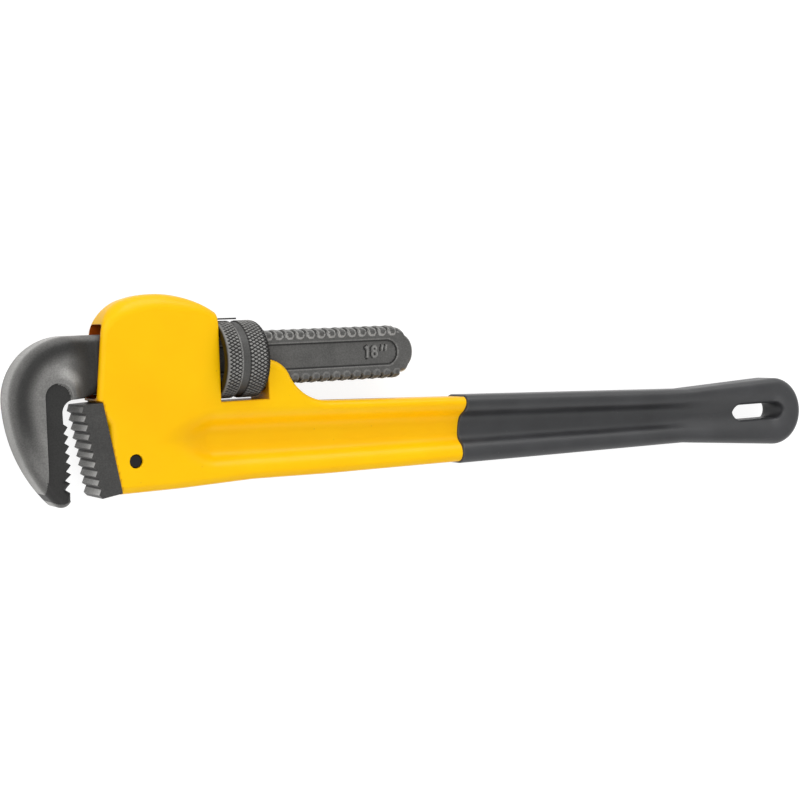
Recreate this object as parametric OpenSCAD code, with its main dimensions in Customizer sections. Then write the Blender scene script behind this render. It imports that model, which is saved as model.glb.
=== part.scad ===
// Adjustable pipe wrench with a sliding hook jaw, drawn in millimetres.
// It lies on its side: +X runs from the jaws to the handle end, +Y towards the
// housing dome and +Z up. Every outline is drawn about the thread axis, with X = 0
// at the top tooth of the heel jaw, and the whole tool is then moved so that its
// bounding box stands centred on the origin.

/* [Casting: housing and handle] */
// Width of the casting across its two flat sides
body_width = 19; // [18.4:0.2:20]
// Rounding along the outer edges of the handle
edge_r = 3.4; // [2.8:0.1:3.8]
// Rounding along the crown of the housing
crown_edge_r = 7; // [4:0.1:8]
// Rounding along the front edge of the housing, at its lip
lip_edge_r = 2.2; // [1.6:0.1:2.8]
// Radius of the housing dome seen from the side
dome_r = 48.3; // [47.4:0.1:49]
// Distance from the thread axis down to the straight lower edge of the handle
handle_low = 55.5; // [55:0.1:56.2]
// Distance from the thread axis down to the upper edge of the handle at its far end
handle_high = 28.7; // [28:0.1:29.4]
// Radius of the rounded handle end
end_r = 17.5; // [16.8:0.1:18.2]
// Thickness of the web left between the two side pockets
web = 5.2; // [4.4:0.2:6.4]
// Half height of a side pocket at the face of the casting, near the housing
pocket_r = 11; // [10:0.25:11.5]
// Half height of a side pocket at its far end
pocket_end_r = 7.4; // [6.8:0.2:9]
// Half height of the flat floor of a side pocket
pocket_floor_r = 5.8; // [5:0.2:6.6]
// Width of the channel that guides the shank
channel_width = 13.2; // [13:0.1:14]
// Distance from the thread axis down to the channel floor
channel_low = 14.2; // [14.1:0.1:14.8]
// Diameter of the blind pocket that holds the coil spring
spring_pocket_d = 9; // [8.8:0.1:9.6]

/* [Hanging slot and vinyl grip] */
// Width of the slot through the handle end
slot_width = 8.3; // [7.5:0.1:9]
// Length of the slot from end to end
slot_length = 33.4; // [30:0.2:34]
// Thickness of the vinyl grip
grip = 0.9; // [0.6:0.1:1.2]
// Distance from the top heel tooth to the front edge of the grip
grip_start = 194; // [185:1:205]

/* [Hook jaw] */
// Diameter over the thread crests of the shank
shank_d = 24; // [23.4:0.1:24.4]
// Thickness of the shank across its two flats
shank_flat = 12.2; // [11.6:0.1:12.4]
// Distance from the top heel tooth to the end of the shank
shank_end = 171.3; // [168:0.1:174]
// Thickness of the forged hook
hook_width = 21.2; // [20.6:0.2:22]
// Rounding along the outer edges of the hook
hook_edge_r = 4; // [3.2:0.1:4.2]
// Radius of the upper part of the hook's back
hook_r = 27.4; // [27:0.1:27.8]
// Radius of the flatter part that runs down to the tip
hook_low_r = 67.9; // [67:0.1:68.8]
// Width of both rows of teeth, measured on the hook
tooth_width = 19; // [18:0.2:20]
// Distance between neighbouring teeth
tooth_pitch = 4.07; // [4:0.01:4.1]
// Depth of the teeth
tooth_depth = 1.9; // [1.5:0.1:2.1]

/* [Heel jaw and its pin] */
// Width of the heel jaw
heel_width = 19.8; // [19:0.2:20.4]
// Thickness of the tongue that enters the casting
tongue = 9; // [8:0.2:10]
// Clearance left on every side of the tongue and behind the heel jaw
tongue_gap = 0.1; // [0.05:0.05:0.2]
// Diameter of the pin that holds the heel jaw
pin_d = 6.2; // [5.8:0.1:6.6]
// Radial clearance round the pin
pin_gap = 0.05; // [0.03:0.01:0.08]
// Depth of the pin's ends below the faces of the casting
pin_sunk = 1; // [0.5:0.1:1.5]

/* [Adjusting nut] */
// Wall of the nut round its bore
nut_wall = 5; // [4.7:0.1:5.3]
// Radial clearance between the nut's bore and the thread crests
nut_gap = 0.7; // [0.65:0.05:0.9]
// Length of the notch in which the nut turns
notch = 23.8; // [23.4:0.1:24.2]
// Clearance at each face of the nut
nut_end_gap = 0.25; // [0.15:0.05:0.35]
// Width of the smooth groove between the two gripping bands
groove_width = 4.5; // [4:0.1:5]
// Depth of that groove
groove_depth = 0.8; // [0.5:0.1:1]

/* [Springs] */
// Thickness of the flat spring
leaf = 0.7; // [0.6:0.05:0.8]
// Width of the flat spring
leaf_width = 8; // [7:0.5:10]
// Diameter of the coil spring's wire
wire_d = 1.1; // [0.9:0.1:1.3]
// Mean diameter of the coil spring
coil_d = 6.6; // [6.2:0.1:7]
// Number of turns of the coil spring
coil_turns = 6; // [5:1:8]

/* [Hidden] */
$fn = 64;
big = 100;

// Casting outline. The dome's front shoulder sits inside the dome arc and touches it.
crown_top = shank_d / 2 + 18.6;
dome = [36.2, crown_top - dome_r];
shoulder_r = 17;
shoulder_at = 108;
front_edge_r = 4;
shoulder = dome + (dome_r - shoulder_r) * [cos(shoulder_at), sin(shoulder_at)];
lip = [6.6, -15];
front_a = tangent_angle(lip, shoulder, shoulder_r);
seat_top = [8.5, -15.6];
seat_low = [16.2, -58];
notch_x = 64.4;
notch_low = 19.1;
saddle_x = notch_x + notch;
saddle_r = 13.5;
saddle = [saddle_x, -13.9];
// The upper edge of the handle falls gently from the saddle ramp to this knee.
slope = -1.93;
knee = [340.8, -handle_high];
ramp_r = 22.8;
ramp = ramp_centre();
ramp_from = atan2(ramp.y - saddle.y, ramp.x - saddle.x);
// Both edges then spread out to touch the rounded end.
end_c = [402.8, -43.4];
flare = [336, -handle_low];
// The lower edge rises a little between the housing and the handle.
low_edge = [[10, -56.6], [44, -56.2], [80, -54.9], [120, -handle_low], flare];
upper_a = atan2(end_c.y - knee.y, end_c.x - knee.x) + asin(end_r / norm(end_c - knee));
lower_a = atan2(end_c.y - flare.y, end_c.x - flare.x) - asin(end_r / norm(end_c - flare));
// Roof of the shank's channel, arched over the flat spring.
shank_top = shank_d / 2;
roof_lip = [12, shank_top + 5.9];
roof_front = [22, shank_top + 11.5];
roof_top = [36, shank_top + 13];
roof_slope = [50, shank_top + 11.2];
roof_rear = [notch_x, shank_top + 8.1];
// Slot between the cheeks for the heel jaw's tongue, and the seat in front of it.
tongue_front = 5;
tongue_rear = 29.2;
tongue_high = [-18.6, -22.5];
tongue_low = [-52.2, -50.5];
seat_clear = [-13.4, -64];
// Side pockets run from the housing to the rounded end.
// Each one begins in a long pointed slope and narrows towards its far end.
pocket_a = [61.5, -36.1];
pocket_b = [400.5, -43.2];
pocket_tip = 21;
pocket_foot = 4.8;
slot_c = [391.5, -42.9];

// Hook jaw outline.
neck_top = 13.5;
neck_low = -13.6;
back = [-4.35, neck_top - hook_r];
back_a = 182;
low_back = back + (hook_r - hook_low_r) * [cos(back_a), sin(back_a)];
tip_a = 222.9;
tip_r = 4.3;
tip = low_back + (hook_low_r - tip_r) * [cos(tip_a), sin(tip_a)];
scoop_r = 14;
scoop_x = 1;
recess = [-11.3, -51.5];
recess_top = -12.4;
recess_r = 6;
panel = 5.9;
panel_depth = 0.7;
tooth_root = -10.6;
throat = [-4, -19.4];
throat_r = 5.7;
throat_edge_r = 1;
root_rise = 3;
strip_low = -57.5;
neck_x = 12;
neck_end = 15;
neck_half = 10.4;
panel_from = 28;
panel_past = 8;
hook_first = [-7.7, -25.3];
hook_lean = 2.2;
hook_teeth = 8;
hook_back_flank = 1.38;

// Heel jaw outline.
heel_first = [-0.5, -23.5];
heel_lean = 9.6;
heel_teeth = 9;
heel_back_flank = 1.1;
pin_at = [22.7, -42.3];
heel_top = -15.95;
heel_nose = [0.8, -16.3];
heel_low = -55.8;
heel_toe = [6.4, -57.3];
tongue_from = 9;

// Adjusting nut and springs.
nut_r = shank_d / 2 + nut_gap + nut_wall;
nut_x = notch_x + nut_end_gap;
nut_length = notch - 2 * nut_end_gap;
nut_round = nut_wall - 0.8;
nut_rim = 0.8;
groove_at = 5.9;
leaf_gap = 0.3;
tail_gap = 0.5;
bow = [40, shank_top + leaf_gap + leaf / 2];
bow_front_r = 25;
bow_rear_r = 36;
leaf_turn_r = 20;
tail_y = nut_r + tail_gap + leaf / 2;
bow_rear_a = acos(1 - (tail_y - bow.y) / (bow_rear_r + leaf_turn_r));
leaf_end = 75.8;
coil_x = 38;
coil_low = 33;

// The tool's bounding box is centred on X and Y and stands on Z = 0.
x_min = back.x - hook_r;
x_max = end_c.x + end_r + grip;
y_min = end_c.y - end_r - grip;
y_max = crown_top;
origin = [-(x_min + x_max) / 2, -(y_min + y_max) / 2, nut_r];

// Direction from point p to the tangent that leaves circle c on its left.
function tangent_angle(p, c, r) =
    atan2(c.y - p.y, c.x - p.x) + asin(r / norm(c - p));

// Centre of the ramp arc that touches both the saddle arc and the upper edge.
function ramp_centre() =
    let (m = tan(slope))
    let (b = knee.y - m * knee.x + ramp_r / cos(slope) - saddle.y)
    let (qa = 1 + m * m)
    let (qb = 2 * (m * b - saddle.x))
    let (qc = pow(saddle.x, 2) + b * b - pow(saddle_r + ramp_r, 2))
    let (x = (-qb + sqrt(qb * qb - 4 * qa * qc)) / (2 * qa))
    [x, m * x + b + saddle.y];

// Point at angle a on a circle.
function on_circle(c, r, a) = c + r * [cos(a), sin(a)];

// Outline points along an arc. Each holds its place, its way inwards and its edge rounding,
// which runs evenly from first to last.
function bulge(c, r, from, to, steps, first, last) = [
    for (i = [0:steps])
        let (a = from + (to - from) * i / steps)
        [on_circle(c, r, a), [-cos(a), -sin(a)], first + (last - first) * i / steps]];

// The same along an arc that is hollowed out of the material.
function hollow(c, r, from, to, steps, round) = [
    for (i = [0:steps])
        let (a = from + (to - from) * i / steps)
        [on_circle(c, r, a), [cos(a), sin(a)], round]];

// The same for single points that share one way inwards.
function straight(places, inwards, round) = [for (p = places) [p, inwards, round]];

// Twice the area of the triangle a, b, c; positive if it turns left.
function turn_area(a, b, c) = (b.x - a.x) * (c.y - a.y) - (b.y - a.y) * (c.x - a.x);

// Whether the corner at place k of a left-turning outline can be cut off as a triangle.
function is_ear(p, left, k) =
    let (n = len(left))
    let (a = p[left[(k + n - 1) % n]])
    let (b = p[left[k]])
    let (c = p[left[(k + 1) % n]])
    turn_area(a, b, c) > 0 && len([
        for (m = [2:n - 2])
            let (q = p[left[(k + m) % n]])
            if (turn_area(a, b, q) >= 0 && turn_area(b, c, q) >= 0 && turn_area(c, a, q) >= 0)
                q]) == 0;

// Triangles that fill an outline, cut off corner by corner, the smallest first.
function triangles(p, left) =
    len(left) == 3 ? [left] :
    let (n = len(left))
    let (sizes = [
        for (k = [0:n - 1])
            is_ear(p, left, k) ? norm(p[left[(k + 1) % n]] - p[left[(k + n - 1) % n]]) : 2 * big * n])
    let (k = search(min(sizes), sizes)[0])
    concat(
        [[left[(k + n - 1) % n], left[k], left[(k + 1) % n]]],
        triangles(p, [for (m = [0:n - 1]) if (m != k) left[m]]));

// Plate over an outline, grown outwards by g, with its edges rounded point by point.
module rounded_plate(outline, thickness, g) {
    half = thickness / 2 + g;
    turns = [0:22.5:90];
    rings = concat([for (a = turns) [a, -1]], [for (a = turns) [90 - a, 1]]);
    count = len(outline);
    last = (len(rings) - 1) * count;
    points = [
        for (ring = rings)
            for (o = outline)
                let (round = o[2] + g)
                let (p = o[0] + o[1] * (round * (1 - sin(ring[0])) - g))
                [p.x, p.y, ring[1] * (half - round * (1 - cos(ring[0])))]];
    walls = [
        for (k = [0:len(rings) - 2])
            for (i = [0:count - 1])
                let (p = k * count + i)
                let (q = k * count + (i + 1) % count)
                for (t = [[p, p + count, q], [q, p + count, q + count]])
                    t];
    cap = triangles([for (i = [0:count - 1]) [points[i].x, points[i].y]], [for (i = [0:count - 1]) i]);
    low = [for (t = cap) t];
    high = [for (t = cap) [last + t[2], last + t[1], last + t[0]]];
    polyhedron(points, concat(walls, low, high));
}

// Straight-sided plate about the middle plane.
module plate(thickness) {
    linear_extrude(thickness, center = true) children();
}

// Outline of the handle from the front end of its lower edge round to the saddle's top.
function handle_outline() =
    concat(
        straight([low_edge[0]], [1, 1], edge_r),
        straight([low_edge[1], low_edge[2], low_edge[3], flare], [0, 1], edge_r),
        bulge(end_c, end_r, lower_a - 90, upper_a + 90, 12, edge_r, edge_r),
        straight([knee], [0, -1], edge_r),
        hollow(ramp, ramp_r, 270 + slope, ramp_from + 180, 5, edge_r),
        bulge(saddle, saddle_r, ramp_from + 12, 95, 4, edge_r, edge_r));

// The rest of the casting's outline, over the dome and down its front edge.
function housing_outline() =
    let (front = [sin(front_a), -cos(front_a)])
    concat(
        straight([[77, 2], [73, 10]], [-1, 0], crown_edge_r),
        bulge(dome, dome_r, 46, shoulder_at, 12, crown_edge_r, crown_edge_r),
        bulge(shoulder, shoulder_r, shoulder_at + 6, front_a + 90, 6, crown_edge_r, front_edge_r),
        straight([lip - 3 * [cos(front_a), sin(front_a)]], front, lip_edge_r),
        straight([[11, -26]], [1, 0], lip_edge_r));

// Ring of pocket points: a pointed start of the given reach and height, a round end.
function pocket_ring(reach, start_r, rear_r) = concat(
    [for (a = [90:15:270])
        pocket_a + [-reach * pow(abs(cos(a)), 1.3), start_r * sign(sin(a)) * pow(abs(sin(a)), 1.3)]],
    [for (a = [-90:15:90]) pocket_b + rear_r * [cos(a), sin(a)]]);

// Sloping-sided pocket in the upper face of the handle, shrunk by g.
module side_pocket(g) {
    low = web / 2 + g;
    high = body_width / 2 + g;
    extra = 1 / (high - low);
    floor_ring = pocket_ring(pocket_foot, pocket_floor_r - g / 2, pocket_end_r - 2.6 - g / 2);
    mouth_ring = pocket_ring(pocket_tip, pocket_r - g / 2, pocket_end_r - g / 2);
    count = len(floor_ring);
    points = concat(
        [for (p = floor_ring) [p.x, p.y, low]],
        [for (i = [0:count - 1])
            let (p = mouth_ring[i] + (mouth_ring[i] - floor_ring[i]) * extra)
            [p.x, p.y, high + 1]]);
    walls = [
        for (i = [0:count - 1])
            let (j = (i + 1) % count)
            for (t = [[i, i + count, j], [j, i + count, j + count]])
                t];
    caps = [for (i = [1:count - 2]) for (t = [[0, i, i + 1], [count, count + i + 1, count + i]]) t];
    polyhedron(points, concat(walls, caps));
}

// Hanging slot, widened by g on every side.
module slot_cut(g) {
    half = (slot_length - slot_width) / 2;
    translate([slot_c.x, slot_c.y, -big / 2]) {
        translate([-half, 0, 0]) cylinder(r = slot_width / 2 + g, h = big);
        translate([half, 0, 0]) cylinder(r = slot_width / 2 + g, h = big);
        translate([-half, -slot_width / 2 - g, 0]) cube([2 * half, slot_width + 2 * g, big]);
    }
}

// I-section handle, grown by g, with both pockets.
module handle_form(g) {
    difference() {
        rounded_plate(concat(handle_outline(), straight([[60, -10]], [1, 0], edge_r)), body_width, g);
        side_pocket(g);
        mirror([0, 0, 1]) side_pocket(g);
    }
}

// Space in the casting for the shank, seen from the side.
module channel() {
    rear = shank_end;
    polygon([[-big, -channel_low], [rear, -channel_low], [rear, roof_rear.y], roof_rear,
        roof_slope, roof_top, roof_front, roof_lip, [-big, roof_lip.y]]);
}

// Profile of the slot between the cheeks that takes the heel jaw's tongue.
module tongue_slot(g) {
    rear = tongue_rear - g;
    polygon([[tongue_front, tongue_high[0] - g], [rear, tongue_high[1] - g],
        [rear, tongue_low[1] + g], [tongue_front, tongue_low[0] + g]]);
}

// Everything in front of the lip and of the heel jaw's seat, seen from the side.
module seat_cut() {
    polygon([[-big, seat_clear[0]], lip, seat_top, seat_low,
        [seat_low.x, seat_clear[1]], [-big, seat_clear[1]]]);
}

// Casting with its handle, housing, saddle and all cut-outs.
module handle_body() {
    color("#f5bd0a")
        difference() {
            rounded_plate(concat(handle_outline(), housing_outline()), body_width, 0);
            side_pocket(0);
            mirror([0, 0, 1]) side_pocket(0);
            plate(big) seat_cut();
            plate(channel_width) channel();
            translate([notch_x, -notch_low, -big / 2]) cube([notch, big, big]);
            plate(tongue + 2 * tongue_gap) tongue_slot(0);
            translate([pin_at.x, pin_at.y, -big / 2]) cylinder(d = pin_d + 2 * pin_gap, h = big);
            translate([coil_x, -coil_low, 0])
                rotate([-90, 0, 0])
                    cylinder(d = spring_pocket_d, h = coil_low - channel_low + 1);
            slot_cut(grip);
        }
}

// Dipped vinyl skin that follows the handle.
module vinyl_grip() {
    color("#404043")
        difference() {
            intersection() {
                handle_form(grip);
                translate([grip_start, -big, -big / 2]) cube([300, big, big]);
            }
            handle_form(0);
            slot_cut(0);
        }
}

// Teeth of the hook, listed downwards: tip and then the valley below it.
function hook_tooth_points() = [
    for (i = [0:hook_teeth - 1])
        let (t = hook_first + i * tooth_pitch * [sin(hook_lean), -cos(hook_lean)])
        for (p = i == hook_teeth - 1
            ? [t]
            : [t, t + [-tooth_depth, hook_back_flank - tooth_pitch]])
            p];

// Outline of the hook from its neck over the back to the tip and up to the throat.
function hook_outline() =
    concat(
        straight([[neck_x, neck_top]], [0, -1], hook_edge_r),
        bulge(back, hook_r, 90, back_a, 12, hook_edge_r, hook_edge_r),
        bulge(low_back, hook_low_r, back_a + 5, tip_a, 6, hook_edge_r, hook_edge_r),
        bulge(tip, tip_r, tip_a + 20, 330, 5, hook_edge_r, hook_edge_r),
        straight([[tooth_root, tip.y + root_rise], [tooth_root, throat.y - throat_edge_r]],
            [-1, 0], throat_edge_r),
        hollow(throat, throat_r, 180, 90, 6, throat_edge_r),
        straight([[neck_x, neck_low]], [0, 1], throat_edge_r));

// Strip that carries the hook's teeth.
module hook_teeth() {
    polygon(concat(
        [[tooth_root - 2, hook_first.y + hook_back_flank], [tooth_root - 2, strip_low],
            [hook_first.x + 1, strip_low]],
        [for (i = [len(hook_tooth_points()) - 1:-1:0]) hook_tooth_points()[i]],
        [hook_first + [-tooth_depth, hook_back_flank]]));
}

// Flat recess milled into the side of the hook beside the teeth.
module hook_recess() {
    polygon(concat(
        [for (a = [180:-15:0]) on_circle([recess.x, recess_top], recess_r, a)],
        [[recess.x + recess_r, recess_top - 2], [neck_x, recess_top - 2],
            [neck_x, recess.y - recess_r]],
        [for (a = [270:-15:180]) on_circle(recess, recess_r, a)]));
}

// Hook with its rounded back, throat and teeth.
module hook() {
    rounded_plate(hook_outline(), hook_width, 0);
    plate(hook_width - 1) hook_teeth();
}

// Shank with two flats, a rounded end and a shallow panel on each flat.
module shank() {
    end_x = shank_end - shank_d / 2;
    panel_to = end_x - panel + panel_past;
    difference() {
        intersection() {
            union() {
                translate([back.x, 0, 0]) rotate([0, 90, 0]) cylinder(d = shank_d, h = end_x - back.x);
                translate([end_x, 0, 0]) sphere(d = shank_d);
            }
            translate([back.x, -big / 2, -shank_flat / 2]) cube([200, big, shank_flat]);
        }
        for (side = [0, 1])
            mirror([0, 0, side])
                translate([0, 0, shank_flat / 2 - panel_depth])
                    linear_extrude(shank_flat) {
                        translate([panel_from, 0]) circle(panel);
                        translate([panel_from, -panel])
                            square([panel_to - panel_from, 2 * panel]);
                        translate([panel_to, 0]) circle(panel);
                    }
    }
}

// Sliding jaw: hook, tapered neck and threaded shank in one forging.
module hook_jaw() {
    color("#55565a") {
        difference() {
            hook();
            for (side = [0, 1])
                mirror([0, 0, side]) {
                    translate([0, 0, tooth_width / 2]) linear_extrude(10) hook_recess();
                    translate([scoop_x, 0, shank_flat / 2 + scoop_r])
                        rotate([90, 0, 0])
                            cylinder(r = scoop_r, h = big, center = true);
                    translate([scoop_x, -big / 2, shank_flat / 2]) cube(big);
                }
        }
        plate(shank_flat)
            polygon([[throat.x, neck_low], [neck_x, neck_low], [neck_end, -neck_half],
                [neck_end, neck_half], [neck_x, neck_top], [throat.x, neck_top]]);
        shank();
    }
}

// Teeth of the heel jaw, listed downwards: tip and then the valley below it.
function heel_tooth_points() = [
    for (i = [0:heel_teeth - 1])
        let (t = heel_first + i * (tooth_pitch - 0.01) * [sin(heel_lean), -cos(heel_lean)])
        for (p = i == heel_teeth - 1
            ? [t]
            : [t, t + [tooth_depth, -heel_back_flank]])
            p];

// Fixed jaw with its teeth and the tongue that is pinned in the casting.
module heel_jaw() {
    seat = (seat_low.x - seat_top.x) / (seat_low.y - seat_top.y);
    behind = [-tongue_gap, 0];
    color("#626366")
        difference() {
            union() {
                plate(heel_width)
                    polygon(concat(
                        [[seat_top.x + (heel_top - seat_top.y) * seat, heel_top] + behind,
                            heel_nose],
                        heel_tooth_points(),
                        [heel_toe, [seat_top.x + (heel_low - seat_top.y) * seat, heel_low] + behind]));
                plate(tongue) intersection() {
                    tongue_slot(tongue_gap);
                    translate([tongue_from, -big]) square(big);
                }
            }
            translate([pin_at.x, pin_at.y, -big / 2]) cylinder(d = pin_d + 2 * pin_gap, h = big);
        }
}

// Plain pin through both cheeks and the tongue.
module heel_jaw_pin() {
    color("#202124")
        translate([pin_at.x, pin_at.y, 0])
            cylinder(d = pin_d, h = body_width - 2 * pin_sunk, center = true);
}

// Section of the nut: x is the radius and y runs along the thread axis.
module nut_section() {
    bore_r = shank_d / 2 + nut_gap;
    round_at = [nut_r - nut_round, nut_length - nut_round];
    floor_r = nut_r - groove_depth;
    groove_end = groove_at + groove_width;
    polygon(concat(
        [[bore_r, 0], [nut_r - nut_rim, 0], [nut_r, nut_rim]],
        [[nut_r, groove_at], [floor_r, groove_at], [floor_r, groove_end], [nut_r, groove_end]],
        [for (a = [0:7.5:90]) on_circle(round_at, nut_round, a)],
        [[bore_r, nut_length]]));
}

// Ring nut that turns in the notch and moves the shank.
module adjusting_nut() {
    color("#5a5b5e")
        translate([nut_x, 0, 0])
            rotate([90, 0, 90])
                rotate_extrude() nut_section();
}

// One side of the leaf seen from the side: s is 1 for its upper face and -1 for its lower.
function leaf_side(s) =
    let (rear = bow + [0, bow_rear_r])
    let (turn = on_circle(rear, bow_rear_r + leaf_turn_r, bow_rear_a - 90))
    let (more = s * leaf / 2)
    concat(
        [for (a = [222:6:270]) on_circle(bow + [0, bow_front_r], bow_front_r - more, a)],
        [for (i = [1:5]) on_circle(rear, bow_rear_r - more, 270 + bow_rear_a * i / 5)],
        [for (i = [4:-1:0]) on_circle(turn, leaf_turn_r + more, 90 + bow_rear_a * i / 5)],
        [[leaf_end, turn.y + leaf_turn_r + more]]);

// Bowed leaf under the dome; its straight tail stands over the nut.
module flat_spring() {
    upper = leaf_side(1);
    color("#3a3a3c")
        plate(leaf_width)
            polygon(concat(leaf_side(-1), [for (i = [len(upper) - 1:-1:0]) upper[i]]));
}

// Compression spring between the casting and the underside of the shank.
module coil_spring() {
    sides = 6;
    steps = 16;
    last = coil_turns * steps;
    rise = coil_low - shank_top - 2 * leaf_gap - wire_d;
    points = [
        for (i = [0:last])
            let (a = 360 * i / steps)
            for (k = [0:sides - 1])
                let (b = 360 * k / sides)
                let (r = coil_d / 2 + wire_d / 2 * cos(b))
                [r * cos(a), 0.1 - coil_low + wire_d / 2 + rise * i / last + wire_d / 2 * sin(b),
                    r * sin(a)]];
    walls = [
        for (i = [0:last - 1])
            for (k = [0:sides - 1])
                let (p = i * sides + k)
                let (q = i * sides + (k + 1) % sides)
                for (t = [[p, q, p + sides], [q, q + sides, p + sides]])
                    t];
    ends = [[for (k = [sides - 1:-1:0]) k], [for (k = [0:sides - 1]) last * sides + k]];
    color("#8f9094")
        translate([coil_x, 0, 0])
            polyhedron(points, concat(walls, ends));
}

// Each sub-part is drawn in the shared frame.
translate(origin) handle_body();
translate(origin) vinyl_grip();
translate(origin) hook_jaw();
translate(origin) heel_jaw();
translate(origin) heel_jaw_pin();
translate(origin) adjusting_nut();
translate(origin) flat_spring();
translate(origin) coil_spring();
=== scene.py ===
"""Looks of the adjustable pipe wrench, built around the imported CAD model.

Casting, sleeve, jaws and pin are written as signed distance fields in millimetres and
turned into meshes; the nut is lathed and the springs are swept. X = 0 lies among the heel
jaw's upper teeth, Y = 0 and Z = 0 are the shank's axis, with +X towards the handle's end,
+Y towards the housing's dome and +Z out of the flat side.
"""

import math

import bmesh
import bpy
import numpy as np
from mathutils import Matrix, Vector


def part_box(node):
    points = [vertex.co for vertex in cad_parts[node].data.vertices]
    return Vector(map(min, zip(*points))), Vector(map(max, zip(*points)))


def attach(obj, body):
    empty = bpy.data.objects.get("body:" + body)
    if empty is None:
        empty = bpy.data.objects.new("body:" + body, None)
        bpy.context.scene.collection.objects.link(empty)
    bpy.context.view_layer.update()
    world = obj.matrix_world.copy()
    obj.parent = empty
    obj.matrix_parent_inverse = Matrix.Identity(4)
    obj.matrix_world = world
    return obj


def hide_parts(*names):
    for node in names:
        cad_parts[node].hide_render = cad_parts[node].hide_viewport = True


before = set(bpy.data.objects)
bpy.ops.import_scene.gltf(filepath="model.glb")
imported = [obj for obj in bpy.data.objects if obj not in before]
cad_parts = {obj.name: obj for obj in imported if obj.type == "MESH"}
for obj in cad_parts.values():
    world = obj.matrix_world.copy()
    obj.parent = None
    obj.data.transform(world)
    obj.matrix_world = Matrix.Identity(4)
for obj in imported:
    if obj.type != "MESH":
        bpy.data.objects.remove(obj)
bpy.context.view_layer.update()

MM = 0.001
NUT_X = 64.65  # the nut's front face on the tool's own X axis
NUT_LOW, NUT_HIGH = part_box("adjusting_nut")
ORIGIN = np.array([
    NUT_LOW.x / MM - NUT_X,
    (NUT_LOW.y + NUT_HIGH.y) / 2 / MM,
    (NUT_LOW.z + NUT_HIGH.z) / 2 / MM,
])


def row(point):
    """A point of the tool's own axes, in mm, as a point of the row frame, in metres."""
    return Vector((np.array(point, float) + ORIGIN) * MM)


# ---------------------------------------------------------------- distance fields

def smooth_min(a, b, k):
    """Union of two fields with a fillet about k wide."""
    h = np.clip(0.5 + 0.5 * (b - a) / k, 0, 1)
    return b + (a - b) * h - k * h * (1 - h)


def smooth_max(a, b, k):
    """Intersection of two fields with an edge rounded about k wide."""
    return -smooth_min(-a, -b, k)


def step_up(value, low, high):
    """Smooth step from 0 at low to 1 at high."""
    t = np.clip((value - low) / (high - low), 0, 1)
    return t * t * (3 - 2 * t)


def blend(a, b, share):
    """The value share of the way from a to b."""
    return a + (b - a) * share


def on_circle(centre, radius, degrees):
    """Point of a circle at an angle."""
    a = math.radians(degrees)
    return (centre[0] + radius * math.cos(a), centre[1] + radius * math.sin(a))


class Outline:
    """Signed distance to a closed outline of points (x, y) and arcs (centre, radius, from, to).

    Material lies on the left of the way round. Where two edges meet in the nearest corner,
    TIE lets the one whose line is further away give the sign.
    """

    TIE = 1e-5
    SHORTEST = 1e-3

    def __init__(self, *nodes):
        self.arcs = [n for n in nodes if len(n) == 4]
        starts = [on_circle(n[0], n[1], n[2]) if len(n) == 4 else n for n in nodes]
        ends = [on_circle(n[0], n[1], n[3]) if len(n) == 4 else n for n in nodes]
        pairs = zip(ends, starts[1:] + starts[:1])
        self.lines = [(a, b) for a, b in pairs if math.dist(a, b) > self.SHORTEST]

    def __call__(self, x, y):
        shape = np.broadcast_shapes(np.shape(x), np.shape(y))
        best, out = np.full(shape, np.inf), np.zeros(shape)
        for (ax, ay), (bx, by) in self.lines:
            dx, dy = bx - ax, by - ay
            length = math.hypot(dx, dy)
            along = np.clip(((x - ax) * dx + (y - ay) * dy) / length**2, 0, 1)
            gap = np.hypot(x - ax - along * dx, y - ay - along * dy)
            side = ((x - ax) * dy - (y - ay) * dx) / length
            rank = gap - self.TIE * abs(side)
            best, out = self.nearer(rank < best, rank, np.sign(side) * gap, best, out)
        for centre, radius, start, end in self.arcs:
            turned = np.degrees(np.arctan2(y - centre[1], x - centre[0])) - min(start, end)
            within = turned % 360 <= abs(end - start)
            side = (np.hypot(x - centre[0], y - centre[1]) - radius) * np.sign(end - start)
            rank = abs(side) * (1 - self.TIE)
            best, out = self.nearer(within & (rank < best), rank, side, best, out)
        return out

    @staticmethod
    def nearer(closer, rank, distance, best, out):
        """Rank and distance of the nearest edge so far."""
        return np.where(closer, rank, best), np.where(closer, distance, out)


def plate(flat, z, half, r):
    """Field of a plate with outline field flat, half thickness half and edges rounded by r."""
    a, b = flat + r, abs(z) - half + r
    return np.minimum(np.maximum(a, b), 0) + np.hypot(np.maximum(a, 0), np.maximum(b, 0)) - r


def capsule(x, y, a, b, r):
    """Flat field of a stadium of radius r from a to b."""
    dx, dy = b[0] - a[0], b[1] - a[1]
    along = np.clip(((x - a[0]) * dx + (y - a[1]) * dy) / (dx * dx + dy * dy), 0, 1)
    return np.hypot(x - a[0] - along * dx, y - a[1] - along * dy) - r


# ---------------------------------------------------------------- fields into meshes

SPREAD = np.array([(1, -1, -1), (-1, -1, 1), (-1, 1, -1), (1, 1, 1)], float)
PULL = 0.04  # weight that draws a cell's vertex to the middle of its crossings
SHARP = 32  # degrees between faces from which an edge stays sharp


def normals_at(field, points, reach=0.02):
    """Unit gradient of the field from four samples round each point."""
    total = np.zeros_like(points)
    for offset in SPREAD:
        p = points + offset * reach
        total += field(p[:, 0], p[:, 1], p[:, 2])[:, None] * offset
    return total / np.maximum(np.linalg.norm(total, axis=1, keepdims=True), 1e-12)


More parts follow.
